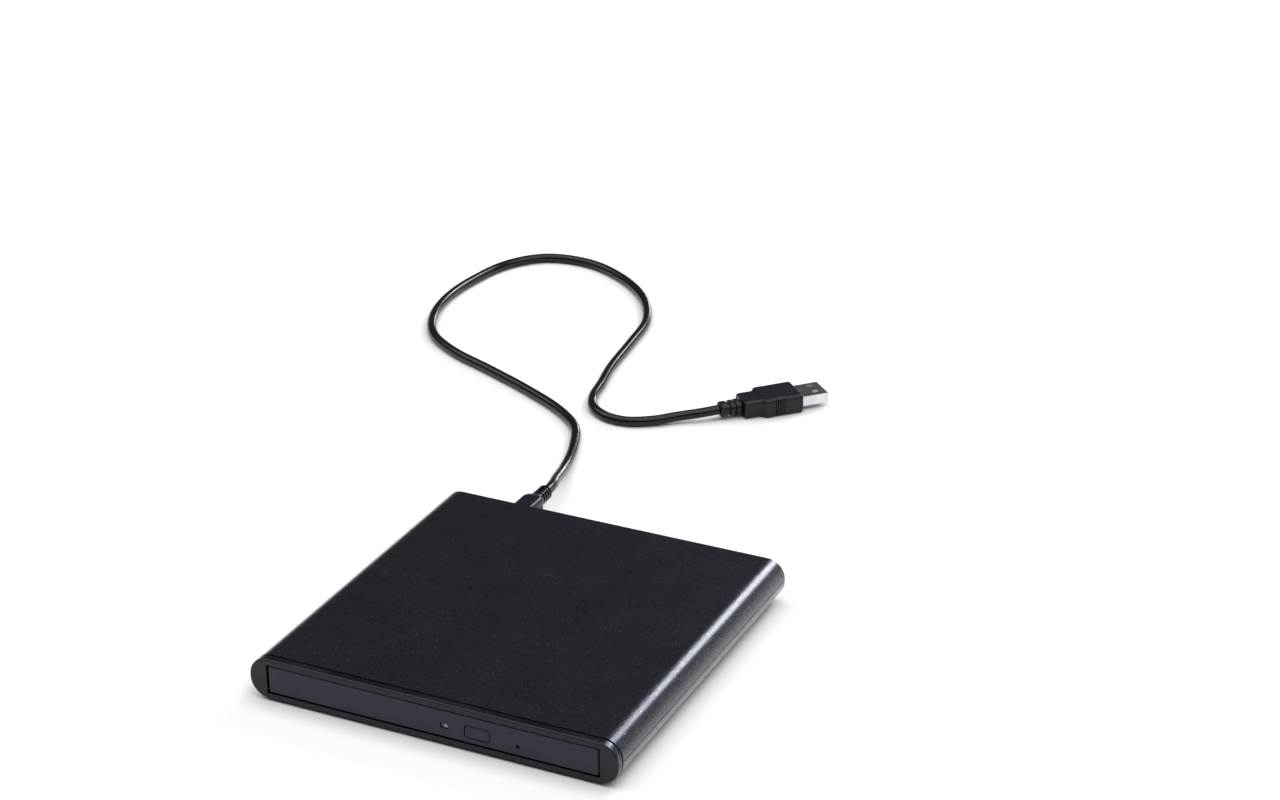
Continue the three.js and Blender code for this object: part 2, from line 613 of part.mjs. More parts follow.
function addEjector() {
  const { x, z, halfWidth, front, back, bottom, top, boreRadius, boreEnd } = EJECTOR;
  const housing = cut(
    box(x - halfWidth, x + halfWidth, front, back, bottom, top),
    bar([x, front - 1, z], [x, boreEnd, z], boreRadius, 16));
  add('ejector_housing', housing, FINISH.blackPlastic);

  const { rodRadius, rodEnd, headRadius, headEnd } = EJECTOR;
  const tip = [x, TRAY.back + GAP, z];
  const plunger = join(
    bar(tip, [x, rodEnd, z], rodRadius, 16), bar(tip, [x, headEnd, z], headRadius, 16));
  add('ejector_plunger', plunger, FINISH.whitePlastic);
}

function addLockPin() {
  const { x, y, bottom, top, radius, baseTop, baseRadius } = LOCK_PIN;
  const stem = drum(x, y, bottom, top, radius, 16);
  const base = drum(x, y, bottom, baseTop, baseRadius, 16);
  add('lock_pin', join(stem, base), FINISH.brightSteel);
}

// -------------------------------------------------------------- slide rails

function addSlideRails() {
  const { inner, outer, web, front, back, bottom, top, lip } = RAIL;
  for (const { side, sign } of SIDES) {
    const block = sideBox(sign, inner, outer, front, back, bottom, top);
    const channel = sideBox(
      sign, inner - 1, outer - web, front - 1, back + 1, bottom + lip, top - lip);
    add(`slide_rail_${side}`, cut(block, channel), FINISH.brightSteel);
  }
}

// ------------------------------------------------- optical pickup mechanism

function onTraverse(out, across) {
  return [
    DISC_CENTRE.x - DIAGONAL * out + DIAGONAL * across,
    DISC_CENTRE.y - DIAGONAL * out - DIAGONAL * across,
  ];
}

function traversePrism(points, z0, z1) {
  return prism(polygon(points.map(([out, across]) => onTraverse(out, across))), z0, z1);
}

function traverseBox(out0, out1, across0, across1, z0, z1) {
  return traversePrism(
    [[out0, across0], [out1, across0], [out1, across1], [out0, across1]], z0, z1);
}

function traverseBar(out0, out1, across, z, radius, sides = 12) {
  return bar([...onTraverse(out0, across), z], [...onTraverse(out1, across), z], radius, sides);
}

function addTraverse() {
  const { x, y } = DISC_CENTRE;
  const { bottom, top, motorHole, postHole, coverBottom } = TRAVERSE;
  const plate = traversePrism(TRAVERSE_FRAME, bottom, top);
  const rodPosts = [-ROD.offset, ROD.offset].flatMap((across) => ROD_POST.spans.map(
    ([start, end]) => traverseBox(
      start, end, across - ROD_POST.halfWidth, across + ROD_POST.halfWidth,
      ROD_POST.bottom, ROD_POST.top)));
  const windows = [
    drum(x, y, bottom - 1, ROD_POST.top + 1, motorHole),
    traversePrism(SLED_WINDOW, bottom - 1, top + 0.1),
    traverseBox(...SLED_MOTOR_ROOM),
    ...TRAVERSE_POSTS.map(([out, across]) => drum(
      ...onTraverse(out, across), bottom - 1, top + 1, postHole, 16)),
    ...[-ROD.offset, ROD.offset].map((across) => traverseBar(
      ROD_POST.boreStart, ROD_POST.boreEnd, across, ROD.height, ROD_POST.bore)),
  ];
  add('traverse_frame', cut(join(plate, rodPosts), windows), FINISH.zincSteel);

  for (const [name, across] of [['guide_rod_outer', -ROD.offset], ['guide_rod_inner', ROD.offset]]) {
    const rod = traverseBar(ROD.start, ROD.end, across, ROD.height, ROD.radius);
    add(name, rod, FINISH.brightSteel);
  }

  const cover = traversePrism(TRAVERSE_COVER, coverBottom, TRAY.deckTop);
  const hubHole = drum(x, y, coverBottom - 1, TRAY.deckTop + 1, HUB.flangeRadius + 0.5, 36);
  add('traverse_cover', cut(cover, hubHole, traverseBox(...COVER_SLOT)), FINISH.blackPlastic);
}

function addSpindle() {
  const { x, y } = DISC_CENTRE;
  const { bottom, top, radius, bore, boreBottom, shaft, shaftBottom } = SPINDLE;
  const stator = cut(
    drum(x, y, bottom, top, radius, 32), drum(x, y, boreBottom, top + 1, bore, 16));
  add('spindle_motor', stator, FINISH.zincSteel);

  const table = join(
    drum(x, y, HUB.flangeBottom, HUB.discHeight, HUB.flangeRadius, 36),
    drum(x, y, HUB.discHeight - 0.1, HUB.top, HUB.radius, 36),
    drum(x, y, shaftBottom, HUB.flangeBottom + 0.25, shaft, 16));
  const { reach, z, pocketStart, pocketEnd, pocketRadius } = BALL;
  const pockets = BALL_DIRECTIONS.map(({ cos, sin }) => bar(
    [x + pocketStart * cos, y + pocketStart * sin, z],
    [x + pocketEnd * cos, y + pocketEnd * sin, z], pocketRadius, 12));
  add('turntable', cut(table, pockets), FINISH.greyPlastic);

  BALL_DIRECTIONS.forEach(({ cos, sin }, index) => {
    const ball = new THREE.SphereGeometry(BALL.radius, 12, 8);
    ball.translate(x + reach * cos, y + reach * sin, z);
    add(`chuck_ball_${index + 1}`, toSolid(ball), FINISH.brightSteel);
  });
}

function boxByLens([out0, out1, across0, across1, z0, z1]) {
  return traverseBox(
    SLED_MIN_RADIUS + out0, SLED_MIN_RADIUS + out1, across0, across1, z0, z1);
}

function addPickup() {
  const outline = SLED_OUTLINE.map(([out, across]) => [SLED_MIN_RADIUS + out, across]);
  const body = join(
    traversePrism(outline, SLED.bottom, SLED.top), boxByLens(SLED_FOLLOWER));
  const bores = [-ROD.offset, ROD.offset].map((across) => traverseBar(
    0, ROD.end + SLED_MIN_RADIUS, across, ROD.height, SLED.bore));
  add('pickup_sled', cut(body, boxByLens(SLED_HOLLOW), bores), FINISH.greyPlastic);

  const [lensX, lensY] = onTraverse(SLED_MIN_RADIUS, 0);
  const seat = drum(lensX, lensY, SLED.bottom, LENS_Z + 1, LENS_SEAT_RADIUS);
  add('lens_holder', cut(boxByLens(LENS_HOLDER), seat), FINISH.blackPlastic);

  const profilePoints = LENS_PROFILE.map(([radius, z]) => new THREE.Vector2(radius, z));
  const dome = new THREE.LatheGeometry(profilePoints, 20);
  dome.rotateX(Math.PI / 2).translate(lensX, lensY, LENS_Z);
  add('objective_lens', toSolid(dome), FINISH.lens);
}

function addLeadScrew() {
  const { start, end, offset, height, radius, coreRadius, pitch } = LEAD_SCREW;
  const { tail, bore, boreStart } = LEAD_SCREW;
  const motorBore = traverseBar(boreStart, start + 1, offset, height, bore);
  add('sled_motor', cut(traverseBox(...SLED_MOTOR), motorBore), FINISH.zincSteel);

  const core = traverseBar(start - tail, end, offset, height, coreRadius, 8);
  const turns = [];
  for (let out = start; out < end - 1; out += pitch) {
    turns.push(traverseBar(out, out + pitch / 2, offset, height, radius, 8));
  }
  add('lead_screw', join(core, turns), FINISH.brightSteel);
}

// --------------------------------------------------------------------- tray

// A slot through the tray's front wall behind a piece of the bezel.
function trayFrontSlot(x, halfWidth) {
  const { depth, bottom, top } = TRAY_SLOT;
  return box(x - halfWidth, x + halfWidth, TRAY.front - 2, TRAY.front + depth, bottom, top);
}

function trayOpenings() {
  const { x, z, radius } = EMERGENCY_HOLE;
  return [
    traversePrism(TRAVERSE_OPENING, TRAY.deckBottom - 1, TRAY.deckTop + 1),
    ...TRAY_WINDOWS.map((edges) => box(...edges)),
    bar([x, TRAY.front - 2, z], [x, TRAY.front + TRAY_SLOT.depth, z], radius + 0.2, 14),
    trayFrontSlot(EJECT_BUTTON.x, BUTTON_STEM.halfWidth + 1),
    trayFrontSlot(LED_WINDOW.x, LED_WINDOW.width / 2 + 0.25),
  ];
}

function traySkirt(sign) {
  const { halfWidth, front, back, deckTop, skirtBottom, skirtWidth } = TRAY;
  const inner = halfWidth - skirtWidth;
  const runnerEnd = RAIL.outer - RAIL.web - GAP;
  return join(
    sideBox(sign, inner, halfWidth, front, back, skirtBottom, deckTop),
    sideBox(
      sign, inner, runnerEnd, front + 1, back - 1, TRAY.runnerBottom, TRAY.runnerTop));
}

function addTray() {
  const { halfWidth, front, back, deckBottom, deckTop, rimTop, skirtBottom, wall } = TRAY;
  const deck = box(-halfWidth, halfWidth, front, back, deckBottom, deckTop);
  const rim = cut(
    box(-halfWidth, halfWidth, front, back, deckTop - 0.1, rimTop),
    drum(DISC_CENTRE.x, DISC_CENTRE.y, deckTop, rimTop + 1, DISC_WELL_RADIUS, 72),
    box(-TRAY.notchHalfWidth, TRAY.notchHalfWidth,
      front - 1, front + TRAY.notchDepth, deckTop, rimTop + 1));
  const frontWall = box(-halfWidth, halfWidth, front, front + wall, skirtBottom, deckTop);
  const rearWall = box(-halfWidth, TRAY.rearWallEnd, back - wall, back, skirtBottom, deckTop);
  const shell = join(deck, rim, frontWall, rearWall, traySkirt(-1), traySkirt(1));
  const posts = TRAVERSE_POSTS.map(([out, across]) => drum(
    ...onTraverse(out, across), TRAY_POST.bottom, TRAY_POST.top, TRAY_POST.radius, 14));
  const pivot = drum(LATCH.x, LATCH.y, LATCH.pinBottom, TRAY_POST.top, LATCH.pinRadius, 14);
  add('tray', join(cut(shell, trayOpenings()), posts, pivot), FINISH.blackPlastic);
}

function buttonOutline(margin) {
  const { x, z, width, height } = EJECT_BUTTON;
  return roundedRectangle(
    x - width / 2 - margin, x + width / 2 + margin,
    z - height / 2 - margin, z + height / 2 + margin, EJECT_BUTTON.radius + margin);
}

function windowOutline(margin) {
  const { x, z, width, height } = LED_WINDOW;
  return roundedRectangle(
    x - width / 2 + margin, x + width / 2 - margin,
    z - height / 2 + margin, z + height / 2 - margin, LED_WINDOW.radius);
}

function addBezel() {
  const { width, height, centreZ, front, back, radius, edge } = BEZEL;
  const { pockets, pocketDepth, pocketHalfHeight } = BEZEL;
  const outline = roundedRectangle(
    -width / 2, width / 2, centreZ - height / 2, centreZ + height / 2, radius);
  const hollows = [
    profile(buttonOutline(GAP), front - 1, back + 1),
    profile(windowOutline(0), front - 1, back + 1),
    bar([EMERGENCY_HOLE.x, front - 1, EMERGENCY_HOLE.z],
      [EMERGENCY_HOLE.x, back + 1, EMERGENCY_HOLE.z], EMERGENCY_HOLE.radius, 18),
    ...pockets.map(([left, right]) => box(
      left, right, back - pocketDepth, back + 1,
      centreZ - pocketHalfHeight, centreZ + pocketHalfHeight)),
  ];
  add('tray_bezel', cut(profile(outline, front, back, edge), hollows), FINISH.bezel);
}

function addFrontControls() {
  const { x, edge, proud, back } = EJECT_BUTTON;
  const cap = profile(buttonOutline(0), BEZEL.front - proud, back, edge);
  const { halfWidth, bottom, top } = BUTTON_STEM;
  const stem = box(x - halfWidth, x + halfWidth, BUTTON_STEM.front, BUTTON_STEM.back, bottom, top);
  add('eject_button', join(cap, stem), FINISH.bezel);

  const lens = profile(windowOutline(GAP), BEZEL.front + LED_WINDOW.recess, BEZEL.back + 0.1);
  add('led_window', lens, FINISH.whitePlastic);
}

function addTrayElectronics() {
  const board = prism(polygon(TRAY_BOARD_OUTLINE), TRAY_BOARD.bottom, TRAY_BOARD.top);
  add('tray_board', board, FINISH.board);
  add('latch_solenoid', join(box(...SOLENOID.coil), box(...SOLENOID.plunger)), FINISH.brass);

  const { x, y, bottom, top, bore } = LATCH;
  const outline = polygon(LATCH_OUTLINE.map(([dx, dy]) => [x + dx, y + dy]));
  const lever = cut(prism(outline, bottom, top), drum(x, y, bottom - 1, top + 1, bore, 14));
  add('latch_lever', lever, FINISH.brightSteel);
}

// --------------------------------------------------------------- flex cable

function addFlexCable() {
  const { x, width, thickness, lowerZ, lowerFront, lowerBack, upperZ, upperBack } = FLEX;
  const { bendFront, bendLength, clearance } = FLEX;
  const left = x - width / 2;
  const right = x + width / 2;
  const lower = box(left, right, lowerFront, lowerBack, lowerZ, lowerZ + thickness);
  add('flex_lower', lower, FINISH.flex);
  const upper = box(left + 1, right - 1, bendFront, upperBack, upperZ, upperZ + thickness);
  add('flex_upper', upper, FINISH.flex);

  // The bend is a half round with two straight legs.
  const outer = (upperZ - lowerZ - thickness) / 2 - clearance;
  const middleZ = (upperZ + lowerZ + thickness) / 2;
  const middleY = bendFront + outer;
  const solidBend = (radius, x0, x1, end) => join(
    bar([x0, middleY, middleZ], [x1, middleY, middleZ], radius, 16),
    box(x0, x1, middleY, end, middleZ - radius, middleZ + radius));
  const end = bendFront + bendLength;
  const bend = cut(
    solidBend(outer, left, right, end),
    solidBend(outer - thickness, left - 1, right + 1, end + 1));
  add('flex_bend', bend, FINISH.flex);
}

// ----------------------------------------------------------------- USB lead

// Slots on opposite corners of the mini plug's strain relief, down to its core.
function miniReliefSlots() {
  const { count, first, pitch, width, core, side } = RELIEF_SLOT;
  const slots = [];
  for (let index = 0; index < count; index += 1) {
    const y0 = first + index * pitch;
    const y1 = y0 + width;
    for (const sign of [1, -1]) {
      const reach = [-side, 4].map((value) => sign * value).sort((a, b) => a - b);
      const inner = [-1 - side, core].map((value) => sign * value).sort((a, b) => a - b);
      const outside = box(
        PLUG_X + reach[0], PLUG_X + reach[1], y0, y1, PLUG_Z + reach[0], PLUG_Z + reach[1]);
      const kept = box(
        PLUG_X + inner[0], PLUG_X + inner[1], y0 - 1, y1 + 1,
        PLUG_Z + inner[0], PLUG_Z + inner[1]);
      slots.push(cut(outside, kept));
    }
  }
  return slots;
}

function addMiniPlug() {
  const { width, height, radius, end } = MINI_BODY;
  const relief = MINI_RELIEF;
  const sections = [
    { y: PLUG_FRONT, width: width - 0.8, height: height - 0.8, radius: radius - 0.4 },
    { y: PLUG_FRONT + 0.4, width, height, radius },
    { y: end, width, height, radius },
    { y: end + 1, width: width - 0.4, height: height - 0.2, radius },
    { y: end + 2, width: width - 1.4, height: height - 0.5, radius },
    { y: end + 2.9, width: width - 3, height: height - 1.1, radius },
    { y: relief.start, width: relief.width, height: relief.height, radius: relief.radius },
    { y: PLUG_END - 0.5, width: relief.width, height: relief.height, radius: relief.radius },
    { y: PLUG_END, width: relief.width - 0.8, height: relief.height - 0.8, radius },
  ];
  const body = toSolid(loftGeometry(sections).translate(PLUG_X, 0, PLUG_Z));
  add('usb_mini_plug', cut(body, miniReliefSlots()), FINISH.blackPlastic);

  const { start, halfWidth, halfFoot, halfHeight } = MINI_TIP;
  const tip = polygon([
    [-halfWidth, halfHeight], [-halfWidth, 0], [-halfFoot, -halfHeight],
    [halfFoot, -halfHeight], [halfWidth, 0], [halfWidth, halfHeight],
  ].map(([dx, dz]) => [PLUG_X + dx, PLUG_Z + dz]));
  const shell = profile(tip, start, PLUG_FRONT - GAP);
  add('usb_mini_tip', cut(shell, box(...MINI_MOUTH)), FINISH.brightSteel);
}

function addCord() {
  const section = new THREE.Shape();
  section.absarc(0, 0, CORD_DIAMETER / 2, 0, Math.PI * 2);
  const points = CORD_ROUTE.map((point) => new THREE.Vector3(...point));
  const { x, y, z, angle } = A_PLUG;
  const turn = THREE.MathUtils.degToRad(angle);
  points.push(new THREE.Vector3(x + GAP * Math.sin(turn), y - GAP * Math.cos(turn), z));
  const geometry = new THREE.ExtrudeGeometry(section, {
    steps: CORD_STEPS,
    curveSegments: CORD_HALF_SIDES,
    extrudePath: new THREE.CatmullRomCurve3(points, false, 'centripetal'),
  });
  add('usb_cord', toSolid(geometry), FINISH.cordPvc);
}

// The A plug is drawn along Y from its cord end, then turned and put in place.
function placeAPlug(geometry) {
  const turned = geometry.rotateZ(THREE.MathUtils.degToRad(A_PLUG.angle));
  return toSolid(turned.translate(A_PLUG.x, A_PLUG.y, A_PLUG.z));
}

function plugBlock(width, y0, y1, z0, z1) {
  const geometry = new THREE.BoxGeometry(width, y1 - y0, z1 - z0);
  return placeAPlug(geometry.translate(0, (y0 + y1) / 2, (z0 + z1) / 2));
}

function addAPlug() {
  const { relief, body, shell } = A_PLUG;
  const end = relief + body;
  const sections = [...A_RELIEF, ...A_BODY].flatMap(([start, stop, width, height, radius]) => [
    { y: start, width, height, radius }, { y: stop, width, height, radius }]);
  const [, , width, height, radius] = A_BODY[A_BODY.length - 1];
  const { pitch, groove, depth, slope } = A_GRIP;
  for (let y = A_GRIP.start; y < A_GRIP.end; y += pitch) {
    const narrow = { width: width - 2 * depth, height, radius };
    sections.push({ y: y + slope, ...narrow }, { y: y + groove, ...narrow });
    sections.push({ y: y + groove + slope, width, height, radius });
    sections.push({ y: y + pitch - slope / 2, width, height, radius });
  }
  sections.push({ y: end - 0.5, width, height, radius });
  sections.push({ y: end, width: width - 0.9, height: height - 0.9, radius: radius - 0.3 });
  add('usb_a_plug', placeAPlug(loftGeometry(sections)), FINISH.blackPlastic);

  const front = end + GAP;
  const half = A_SHELL.height / 2;
  const inside = half - A_SHELL.wall;
  const hole = A_SHELL_HOLE;
  const can = cut(
    plugBlock(A_SHELL.width, front, front + shell, -half, half),
    plugBlock(
      A_SHELL.width - 2 * A_SHELL.wall, front + A_SHELL.floor, front + shell + 1, -inside, inside),
    [-hole.side, hole.side].map((side) => placeAPlug(
      new THREE.BoxGeometry(hole.size, hole.length, hole.size)
        .translate(side, front + hole.along, hole.z))));
  add('usb_a_shell', can, FINISH.brightSteel);
  const tongue = plugBlock(
    A_TONGUE.width, front + A_TONGUE.start, front + shell - A_TONGUE.end,
    A_TONGUE.bottom, A_TONGUE.top);
  add('usb_a_tongue', tongue, FINISH.whitePlastic);
}

// ------------------------------------------------------------------ assembly

addTopCover();
addBottomCover();
addFrontFrame();
addRearPanel();
addFeetAndScrews();
addBridgeBoard();
addDriveChassis();
addDriveCover();
addRailGuides();
addDriveConnector();
addEjector();
addLockPin();
addSlideRails();
addTraverse();
addSpindle();
addPickup();
addLeadScrew();
addTray();
addBezel();
addFrontControls();
addTrayElectronics();
addFlexCable();
addMiniPlug();
addCord();
addAPlug();

export default drive;
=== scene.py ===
"""Looks for a slim external optical disc drive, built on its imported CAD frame.

Metres, +Z up. The tray opens towards -Y and the drive stands on Z = 0.
"""

import json
import math

import bmesh
import bpy
from mathutils import Matrix, Vector


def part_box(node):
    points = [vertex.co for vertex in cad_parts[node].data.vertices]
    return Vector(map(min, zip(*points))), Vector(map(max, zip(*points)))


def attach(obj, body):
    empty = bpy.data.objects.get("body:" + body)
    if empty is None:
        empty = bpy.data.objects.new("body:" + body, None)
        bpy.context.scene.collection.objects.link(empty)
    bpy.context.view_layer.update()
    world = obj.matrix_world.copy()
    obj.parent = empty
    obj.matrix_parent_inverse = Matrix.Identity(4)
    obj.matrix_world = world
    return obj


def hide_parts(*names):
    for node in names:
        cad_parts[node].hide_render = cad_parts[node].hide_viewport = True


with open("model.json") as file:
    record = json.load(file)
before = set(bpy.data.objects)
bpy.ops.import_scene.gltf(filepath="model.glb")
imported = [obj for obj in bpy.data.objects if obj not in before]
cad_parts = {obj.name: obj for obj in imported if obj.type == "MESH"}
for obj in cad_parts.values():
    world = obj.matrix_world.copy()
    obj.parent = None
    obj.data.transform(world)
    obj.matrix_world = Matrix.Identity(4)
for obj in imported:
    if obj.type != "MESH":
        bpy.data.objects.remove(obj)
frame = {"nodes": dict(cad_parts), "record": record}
NODES = frame["nodes"]
SLOT_OF = {part["node"]: part["material_slot"] for part in frame["record"]["subparts"]}
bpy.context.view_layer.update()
SCENE = bpy.context.scene
MM = 0.001

# ------------------------------------------------------------------- camera

CAMERA_PLACE = Vector((0.42320, -0.79186, 0.51874))
CAMERA_FORWARD = Vector((-0.38939636, 0.81751614, -0.42430865))
CAMERA_UP = Vector((-0.17880469, 0.38481186, 0.90551019))
CAMERA_LENS_MM = 80.32
CAMERA_SENSOR_MM = 36
CAMERA_CLIP = (0.05, 50)


def link(name, data):
    obj = bpy.data.objects.new(name, data)
    SCENE.collection.objects.link(obj)
    return obj


def add_camera():
    data = bpy.data.cameras.new("camera")
    data.lens = CAMERA_LENS_MM
    data.sensor_width = CAMERA_SENSOR_MM
    data.clip_start, data.clip_end = CAMERA_CLIP
    camera = link("camera", data)
    back = -CAMERA_FORWARD.normalized()
    right = CAMERA_UP.cross(back).normalized()
    turn = Matrix((right, back.cross(right), back)).transposed()
    camera.matrix_world = Matrix.Translation(CAMERA_PLACE) @ turn.to_4x4()
    SCENE.camera = camera


add_camera()

# ---------------------------------------------------------------- materials


class Shader:
    """One procedural material: a Principled shader and the nodes that feed it."""

    def __init__(self, name, color, roughness, metallic=0.0):
        self.material = bpy.data.materials.new(name)
        self.material.use_nodes = True
        self.tree = self.material.node_tree
        self.bsdf = self.tree.nodes["Principled BSDF"]
        self.set("Base Color", (*color, 1))
        self.set("Roughness", roughness)
        self.set("Metallic", metallic)
        self.place = self.tree.nodes.new("ShaderNodeTexCoord").outputs["Object"]

    def set(self, socket, value):
        self.bsdf.inputs[socket].default_value = value

    def link(self, source, target):
        self.tree.links.new(source, target)

    def stretched(self, factors):
        """The place on the object with each axis scaled."""
        node = self.tree.nodes.new("ShaderNodeMapping")
        node.inputs["Scale"].default_value = factors
        self.link(self.place, node.inputs["Vector"])
        return node.outputs["Vector"]

    def noise(self, scale, detail=3, roughness=0.5, vector=None):
        node = self.tree.nodes.new("ShaderNodeTexNoise")
        node.inputs["Scale"].default_value = scale
        node.inputs["Detail"].default_value = detail
        node.inputs["Roughness"].default_value = roughness
        self.link(vector or self.place, node.inputs["Vector"])
        return node.outputs["Fac"]

    def cells(self, scale):
        """A random colour for each of the cells that fill the space."""
        node = self.tree.nodes.new("ShaderNodeTexVoronoi")
        node.inputs["Scale"].default_value = scale
        self.link(self.place, node.inputs["Vector"])
        return node.outputs["Color"]

    def axis(self, vector, name):
        node = self.tree.nodes.new("ShaderNodeSeparateXYZ")
        self.link(vector, node.inputs["Vector"])
        return node.outputs[name]

    def surface(self):
        return self.tree.nodes.new("ShaderNodeNewGeometry").outputs["Normal"]

    def channel(self, color, name):
        node = self.tree.nodes.new("ShaderNodeSeparateColor")
        self.link(color, node.inputs["Color"])
        return node.outputs[name]

    def vector_math(self, operation, *values):
        node = self.tree.nodes.new("ShaderNodeVectorMath")
        node.operation = operation
        for socket, value in zip(node.inputs, values):
            if isinstance(value, tuple):
                socket.default_value = value
            else:
                self.link(value, socket)
        return node.outputs["Vector"]

    def tilt(self, color, amount):
        """Turns each cell's surface a little its own way, as flakes lie."""
        spread = self.vector_math("SUBTRACT", color, (0.5, 0.5, 0.5))
        lean = self.vector_math("MULTIPLY", spread, (amount, amount, amount))
        turned = self.vector_math("NORMALIZE", self.vector_math("ADD", self.surface(), lean))
        self.link(turned, self.bsdf.inputs["Normal"])

    def span(self, source, low, high, start=0.0, end=1.0):
        """source from low..high laid out on start..end, and held there."""
        node = self.tree.nodes.new("ShaderNodeMapRange")
        self.link(source, node.inputs["Value"])
        for socket, value in zip(("From Min", "From Max", "To Min", "To Max"),
                                 (low, high, start, end)):
            node.inputs[socket].default_value = value
        return node.outputs["Result"]

    def math(self, operation, a, b):
        node = self.tree.nodes.new("ShaderNodeMath")
        node.operation = operation
        for socket, value in zip(node.inputs, (a, b)):
            if isinstance(value, (int, float)):
                socket.default_value = value
            else:
                self.link(value, socket)
        return node.outputs["Value"]

    def mix(self, share, a, b):
        """Colour a where share is 0 and b where it is 1."""
        node = self.tree.nodes.new("ShaderNodeMix")
        node.data_type = "RGBA"
        sockets = [s for s in node.inputs if s.type == "RGBA"]
        self.link(share, node.inputs[0])
        for socket, value in zip(sockets, (a, b)):
            if isinstance(value, tuple):
                socket.default_value = (*value, 1)
            else:
                self.link(value, socket)
        return next(s for s in node.outputs if s.type == "RGBA")

    def drive(self, socket, source):
        self.link(source, self.bsdf.inputs[socket])

    def bump(self, height, strength, depth, layer="Normal"):
        """Adds a relief of depth metres, on top of the earlier ones."""
        node = self.tree.nodes.new("ShaderNodeBump")
        node.inputs["Strength"].default_value = strength
        node.inputs["Distance"].default_value = depth
        self.link(height, node.inputs["Height"])
        normal = self.bsdf.inputs[layer]
        if normal.is_linked:
            self.link(normal.links[0].from_socket, node.inputs["Normal"])
        self.link(node.outputs["Normal"], normal)


def flake_paint(name, dark, flake, glint):
    """Dark metallic paint: tilted flakes, a few bright ones, satin clear coat."""
    s = Shader(name, dark, 0.34, 1.0)
    s.set("Coat Weight", 1)
    s.set("Coat Roughness", 0.2)
    s.set("Coat IOR", 1.3)
    grains = s.cells(5200)
    share = s.span(s.channel(grains, "Red"), 0.5, 1.0)
    body = s.mix(share, dark, flake)
    bright_few = s.span(s.channel(s.cells(3000), "Green"), 0.985, 1.0)
    s.drive("Base Color", s.mix(bright_few, body, glint))
    s.drive("Roughness", s.span(s.noise(60, 5, 0.6), 0.35, 0.7, 0.3, 0.36))
    s.tilt(grains, 0.2)
    s.bump(s.noise(1900, 2, 0.6), 0.7, 0.00003, "Coat Normal")
    return s.material


def moulded(name, color, roughness, grain=2600, relief=0.25, shine=0.5):
    """Injection moulded plastic with a spark-eroded grain."""
    s = Shader(name, color, roughness)
    s.set("Specular IOR Level", shine)
    pale = tuple(min(1, c * 1.3 + 0.001) for c in color)
    s.drive("Base Color", s.mix(s.span(s.noise(160, 5, 0.6), 0.4, 0.75), color, pale))
    rub = s.span(s.noise(45, 5, 0.6), 0.4, 0.7, -0.04, 0.05)
    s.drive("Roughness", s.math("ADD", rub, roughness))
    s.bump(s.noise(grain, 3, 0.6), relief, 0.00005)
    return s.material


def frame_finish(name, plastic, dark, flake):
    """Dark plastic on the front face, metallic paint on the faces round it."""
    s = Shader(name, plastic, 0.3)
    s.set("Specular IOR Level", 0.33)
    painted = s.span(s.axis(s.surface(), "Y"), -0.5, -0.3)
    share = s.span(s.channel(s.cells(5200), "Red"), 0.5, 1.0)
    s.drive("Base Color", s.mix(painted, plastic, s.mix(share, dark, flake)))
    s.drive("Metallic", painted)
    s.drive("Roughness", s.span(s.noise(45, 5, 0.6), 0.4, 0.7, 0.25, 0.34))
    s.bump(s.noise(3600, 3, 0.6), 0.15, 0.00005)
    return s.material


def sheet_metal(name, color, roughness, grain=(60, 900, 60), spangle=0.0):
    """Rolled or drawn metal: fine lines along one axis and dull spots."""
    s = Shader(name, color, roughness, 1.0)
    lines = s.noise(1, 4, 0.6, s.stretched(grain))
    dull = tuple(c * 0.72 for c in color)
    tone = s.span(s.noise(120, 5, 0.6), 0.38, 0.72)
    if spangle:
        tone = s.math("MULTIPLY", tone, s.channel(s.cells(spangle), "Red"))
    s.drive("Base Color", s.mix(tone, color, dull))
    s.drive("Roughness", s.math("ADD", s.span(lines, 0.3, 0.7, -0.06, 0.09), roughness))
    s.bump(lines, 0.12, 0.00004)
    return s.material


def circuit_board(name):
    """Green solder mask over copper tracks."""
    green = (0.012, 0.075, 0.03)
    over_copper = (0.03, 0.16, 0.06)
    s = Shader(name, green, 0.32)
    tracks = s.tree.nodes.new("ShaderNodeTexBrick")
    tracks.inputs["Scale"].default_value = 240
    tracks.inputs["Mortar Size"].default_value = 0.06
    tracks.inputs["Color1"].default_value = (0.0, 0.0, 0.0, 1)
    tracks.inputs["Color2"].default_value = (0.35, 0.35, 0.35, 1)
    tracks.inputs["Mortar"].default_value = (1, 1, 1, 1)
    s.link(s.place, tracks.inputs["Vector"])
    routed = s.span(s.noise(90, 3), 0.48, 0.52)
    share = s.math("MULTIPLY", tracks.outputs["Fac"], routed)
    s.drive("Base Color", s.mix(share, green, over_copper))
    s.drive("Roughness", s.span(s.noise(200, 4), 0.3, 0.7, 0.26, 0.42))
    s.bump(share, 0.2, 0.00005)
    return s.material


def pvc(name, color, roughness, shine):
    """Cord and plug vinyl: satin, faintly mottled, with dust in its grain."""
    s = Shader(name, color, roughness)
    s.set("Specular IOR Level", shine)
    dust = s.span(s.noise(1500, 4, 0.7), 0.55, 0.75)
    s.drive("Base Color", s.mix(dust, color, tuple(c + 0.012 for c in color)))
    patches = s.span(s.noise(400, 4), 0.35, 0.7, -0.03, 0.05)
    s.drive("Roughness", s.math("ADD", patches, roughness))
    s.bump(s.noise(1300, 3), 0.06, 0.00002)
    return s.material


